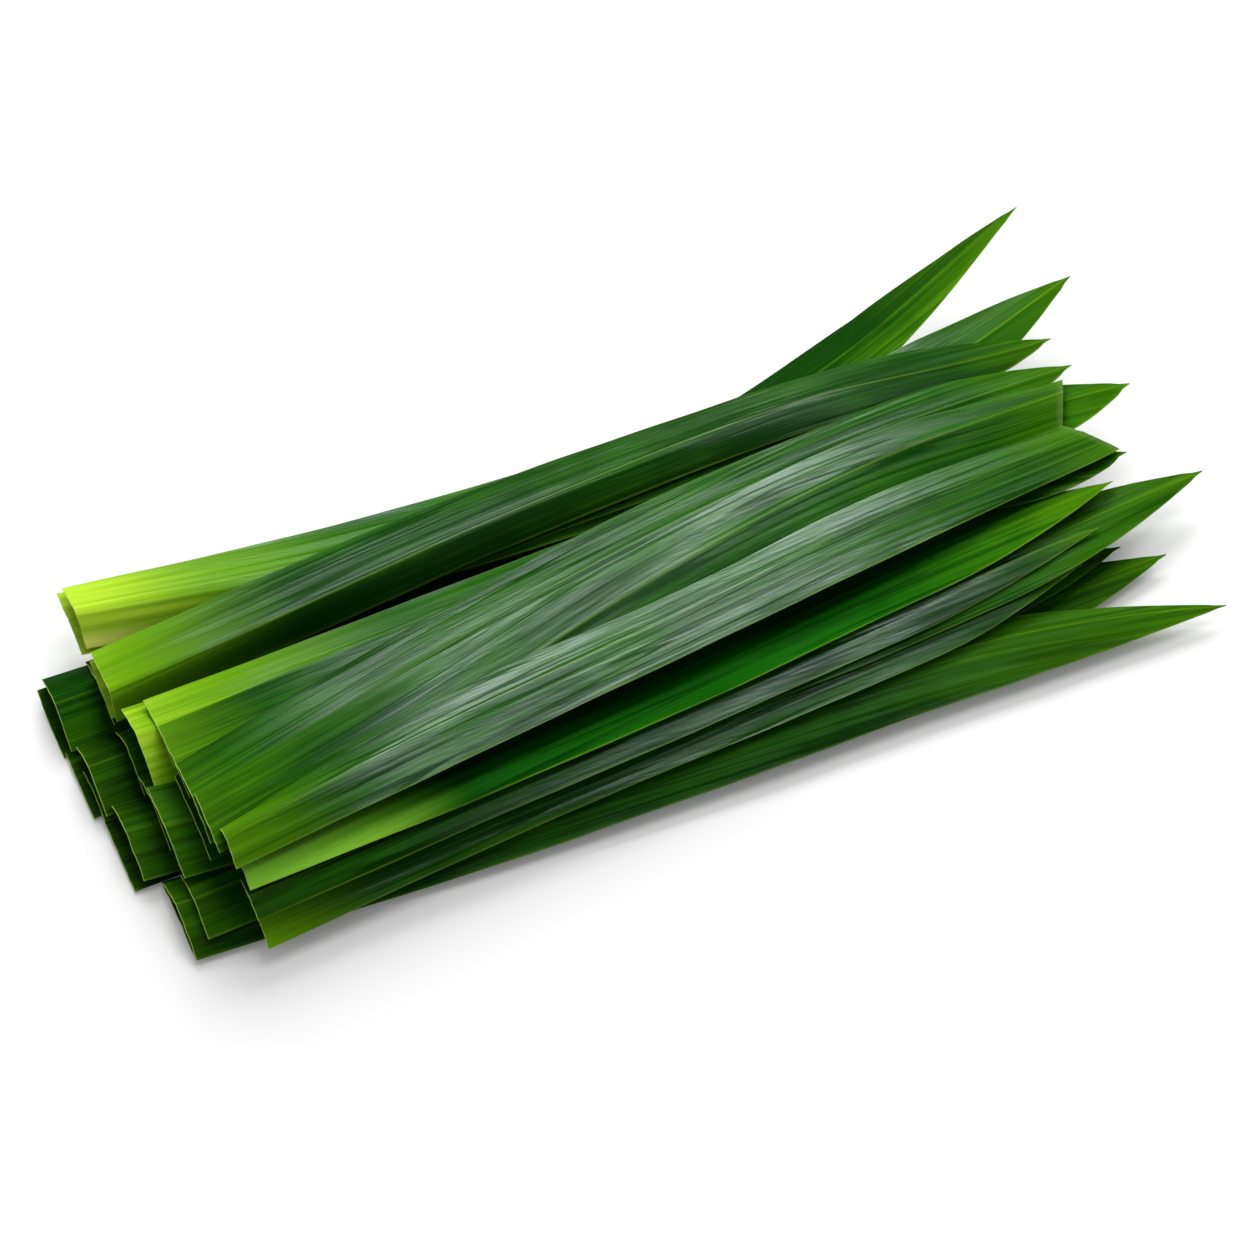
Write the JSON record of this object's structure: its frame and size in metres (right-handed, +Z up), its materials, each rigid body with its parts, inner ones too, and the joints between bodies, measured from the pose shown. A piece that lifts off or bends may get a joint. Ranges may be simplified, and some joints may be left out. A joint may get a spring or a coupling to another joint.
{
  "type": "pandan leaf bunch",
  "caption": "Bunch of fresh pandan leaves lying flat, cut ends stacked in stepped tiers and pointed tips fanned out, for a kitchen or market scene.",
  "frame": {"origin": "middle of the bunch's bounding box, on the surface that it lies on", "axes": "+X along the leaves from the cut ends to the tips, +Y across the bunch to the side with the splayed tips, +Z up"},
  "size_m": [0.485, 0.2296, 0.0418],
  "materials": {
    "deep_leaf": "satin dark green blade of an older leaf",
    "mid_leaf": "waxy mid green blade with a grey sheen",
    "bright_leaf": "waxy yellow-green blade, paler towards the base"
  },
  "bodies": {
    "root": {"ground_leaf_1": "deep_leaf", "ground_leaf_2": "deep_leaf", "ground_leaf_3": "deep_leaf", "ground_leaf_4": "deep_leaf", "lower_leaf_1": "mid_leaf", "lower_leaf_2": "deep_leaf", "lower_leaf_3": "deep_leaf", "lower_leaf_4": "deep_leaf", "lower_leaf_5": "deep_leaf", "middle_leaf_1": "mid_leaf", "middle_leaf_2": "mid_leaf", "middle_leaf_3": "mid_leaf", "middle_leaf_4": "deep_leaf", "middle_leaf_5": "mid_leaf", "middle_leaf_6": "bright_leaf", "middle_leaf_7": "mid_leaf", "middle_leaf_8": "mid_leaf", "middle_leaf_9": "bright_leaf", "top_leaf_1": "deep_leaf", "middle_leaf_10": "mid_leaf", "top_leaf_2": "deep_leaf", "top_leaf_3": "mid_leaf", "top_leaf_4": "mid_leaf", "top_leaf_5": "bright_leaf", "top_leaf_6": "mid_leaf", "top_leaf_7": "mid_leaf", "top_leaf_8": "mid_leaf", "top_leaf_9": "mid_leaf"}
  },
  "joints": []
}
